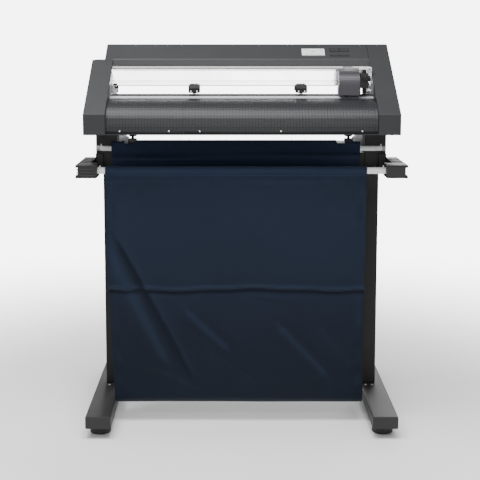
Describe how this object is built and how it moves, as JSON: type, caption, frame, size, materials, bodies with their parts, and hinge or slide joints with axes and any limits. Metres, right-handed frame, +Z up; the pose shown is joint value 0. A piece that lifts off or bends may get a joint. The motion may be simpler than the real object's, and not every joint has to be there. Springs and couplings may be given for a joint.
{
  "type": "floor-standing vinyl cutter",
  "caption": "Floor-standing roll-fed vinyl cutter: roller-and-rail cutting head in dark covers on a posted floor stand, with a hanging fabric basket for the cut media.",
  "frame": {"origin": "on the floor, under the middle of the stand", "axes": "+Z up, -Y towards the operator, +X to the operator's right, the side with the control panel"},
  "size_m": [0.9166, 0.676, 1.07],
  "materials": {
    "cover_plastic": "fine-textured",
    "dark_grey_plastic": "satin",
    "carriage_plastic": "gloss",
    "black_plastic": "satin",
    "platen_plastic": "ribbed satin",
    "light_grey_plastic": "satin",
    "black_steel": "powder coat",
    "grey_steel": "powder coat",
    "arm_plastic": "moulded",
    "aluminium": "anodised",
    "zinc_sheet": "zinc plated",
    "bright_steel": "ground",
    "white_tube": "white coated",
    "rubber": "matte",
    "belt": "satin",
    "screen": "satin",
    "board": "satin",
    "fabric": "woven"
  },
  "bodies": {
    "root": {"base_pan": "grey_steel", "basket_fabric": "fabric", "basket_rear_bar": "white_tube", "carriage_motor": "black_steel", "circuit_board": "board", "cross_beam": "black_steel", "cutting_mat": "light_grey_plastic", "feed_motor": "black_steel", "foot_left": "grey_steel", "foot_right": "grey_steel", "lcd_screen": "screen", "left_side_cover": "cover_plastic", "platen_left": "platen_plastic", "platen_right": "platen_plastic", "post_left": "black_steel", "post_right": "black_steel", "power_inlet": "black_plastic", "power_supply": "zinc_sheet", "rear_guide": "dark_grey_plastic", "right_side_cover": "cover_plastic", "roller_bearing_left": "bright_steel", "roller_bearing_right": "bright_steel", "side_frame_left": "zinc_sheet", "side_frame_right": "zinc_sheet", "stocker_arm_left": "black_steel", "stocker_arm_right": "black_steel", "timing_belt": "belt", "top_cover": "cover_plastic", "y_rail": "aluminium"},
    "carriage": {"carriage_plate": "zinc_sheet", "carriage_cover": "carriage_plastic"},
    "tool": {"tool_holder": "zinc_sheet", "blade_holder": "black_plastic"},
    "clamp": {"clamp_knob": "black_plastic"},
    "feed_roller": {"drive_roller": "bright_steel", "drive_gear": "light_grey_plastic"},
    "pinion": {"feed_pinion": "bright_steel"},
    "drive_pulley": {"drive_pulley": "aluminium"},
    "idler_pulley": {"idler_pulley": "aluminium"},
    "lever": {"media_lever": "black_plastic"},
    "push_lift": {"lift_shaft": "bright_steel"},
    "push_arm_left": {"push_arm_left": "black_plastic"},
    "push_arm_right": {"push_arm_right": "black_plastic"},
    "push_wheel_left": {"push_roller_left": "rubber"},
    "push_wheel_right": {"push_roller_right": "rubber"},
    "key_1": {"panel_key_1": "dark_grey_plastic"},
    "key_2": {"panel_key_2": "dark_grey_plastic"},
    "key_3": {"panel_key_3": "dark_grey_plastic"},
    "key_4": {"panel_key_4": "dark_grey_plastic"},
    "rocker": {"power_switch": "black_plastic"},
    "stock_roller": {"stock_shaft": "aluminium", "roll_stopper_left": "light_grey_plastic", "roll_stopper_right": "light_grey_plastic"},
    "basket_frame": {"basket_arm_left": "arm_plastic", "basket_arm_right": "arm_plastic", "basket_front_tube": "white_tube"},
    "foot_front_left": {"levelling_foot_front_left": "rubber"},
    "foot_front_right": {"levelling_foot_front_right": "rubber"},
    "foot_rear_left": {"levelling_foot_rear_left": "rubber"},
    "foot_rear_right": {"levelling_foot_rear_right": "rubber"}
  },
  "joints": [
    {"name": "carriage_travel", "type": "slide", "parent": "root", "child": "carriage", "axis": [1, 0, 0], "range_m": [-0.624, 0]},
    {"name": "tool_plunge", "type": "slide", "parent": "carriage", "child": "tool", "axis": [0, 0, 1], "range_m": [-0.0035, 0], "stiffness_N_per_m": 800, "springref_m": 0.004},
    {"name": "clamp_turn", "type": "hinge", "parent": "tool", "child": "clamp", "pos_m": [0.3395, -0.165, 0.978], "axis": [0, 1, 0], "range_deg": [0, 180]},
    {"name": "feed_spin", "type": "hinge", "parent": "root", "child": "feed_roller", "pos_m": [0, -0.115, 0.9245], "axis": [1, 0, 0], "continuous": true},
    {"name": "pinion_spin", "type": "hinge", "parent": "root", "child": "pinion", "pos_m": [0, -0.13515, 0.90435], "axis": [1, 0, 0], "continuous": true},
    {"name": "drive_pulley_spin", "type": "hinge", "parent": "root", "child": "drive_pulley", "pos_m": [0.3983, -0.062, 1.002], "axis": [0, 0, 1], "range_deg": [-2749, 10]},
    {"name": "idler_pulley_spin", "type": "hinge", "parent": "root", "child": "idler_pulley", "pos_m": [-0.3983, -0.062, 1.002], "axis": [0, 0, 1], "range_deg": [-2749, 10]},
    {"name": "lever_swing", "type": "hinge", "parent": "root", "child": "lever", "pos_m": [-0.4043, 0.005, 0.974], "axis": [1, 0, 0], "range_deg": [-35, 0]},
    {"name": "push_lift_turn", "type": "hinge", "parent": "root", "child": "push_lift", "pos_m": [0, -0.03, 0.966], "axis": [1, 0, 0], "range_deg": [-3.2, 0]},
    {"name": "push_left_slide", "type": "slide", "parent": "push_lift", "child": "push_arm_left", "axis": [1, 0, 0], "range_m": [-0.2, 0.13]},
    {"name": "push_right_slide", "type": "slide", "parent": "push_lift", "child": "push_arm_right", "axis": [1, 0, 0], "range_m": [-0.14, 0.165]},
    {"name": "push_wheel_left_spin", "type": "hinge", "parent": "push_arm_left", "child": "push_wheel_left", "pos_m": [-0.1327, -0.115, 0.9403], "axis": [1, 0, 0], "continuous": true},
    {"name": "push_wheel_right_spin", "type": "hinge", "parent": "push_arm_right", "child": "push_wheel_right", "pos_m": [0.168, -0.115, 0.9403], "axis": [1, 0, 0], "continuous": true},
    {"name": "key_1_press", "type": "slide", "parent": "root", "child": "key_1", "axis": [0, 0.5153, -0.857], "range_m": [0, 0.001], "stiffness_N_per_m": 500, "springref_m": -0.0008},
    {"name": "key_2_press", "type": "slide", "parent": "root", "child": "key_2", "axis": [0, 0.5153, -0.857], "range_m": [0, 0.001], "stiffness_N_per_m": 500, "springref_m": -0.0008},
    {"name": "key_3_press", "type": "slide", "parent": "root", "child": "key_3", "axis": [0, 0.5153, -0.857], "range_m": [0, 0.001], "stiffness_N_per_m": 500, "springref_m": -0.0008},
    {"name": "key_4_press", "type": "slide", "parent": "root", "child": "key_4", "axis": [0, 0.5153, -0.857], "range_m": [0, 0.001], "stiffness_N_per_m": 500, "springref_m": -0.0008},
    {"name": "power_rock", "type": "hinge", "parent": "root", "child": "rocker", "pos_m": [0.3974, 0.04, 0.903], "axis": [1, 0, 0], "range_deg": [-8, 0]},
    {"name": "stock_spin", "type": "hinge", "parent": "root", "child": "stock_roller", "pos_m": [0, 0.115, 0.765], "axis": [1, 0, 0], "continuous": true},
    {"name": "basket_swing", "type": "hinge", "parent": "root", "child": "basket_frame", "pos_m": [0, -0.03, 0.726], "axis": [1, 0, 0], "range_deg": [-20, 20], "deforming": ["basket_fabric"]},
    {"name": "foot_front_left_turn", "type": "hinge", "parent": "root", "child": "foot_front_left", "pos_m": [-0.393, -0.272, 0], "axis": [0, 0, 1], "continuous": true},
    {"name": "foot_front_right_turn", "type": "hinge", "parent": "root", "child": "foot_front_right", "pos_m": [0.393, -0.272, 0], "axis": [0, 0, 1], "continuous": true},
    {"name": "foot_rear_left_turn", "type": "hinge", "parent": "root", "child": "foot_rear_left", "pos_m": [-0.393, 0.272, 0], "axis": [0, 0, 1], "continuous": true},
    {"name": "foot_rear_right_turn", "type": "hinge", "parent": "root", "child": "foot_rear_right", "pos_m": [0.393, 0.272, 0], "axis": [0, 0, 1], "continuous": true}
  ],
  "couplings": [
    {"joint": "pinion_spin", "follows": "feed_spin", "ratio": -3.75},
    {"joint": "drive_pulley_spin", "follows": "carriage_travel", "rad_per_m": 76.336},
    {"joint": "idler_pulley_spin", "follows": "carriage_travel", "rad_per_m": 76.336},
    {"joint": "push_lift_turn", "follows": "lever_swing", "ratio": 0.09}
  ]
}
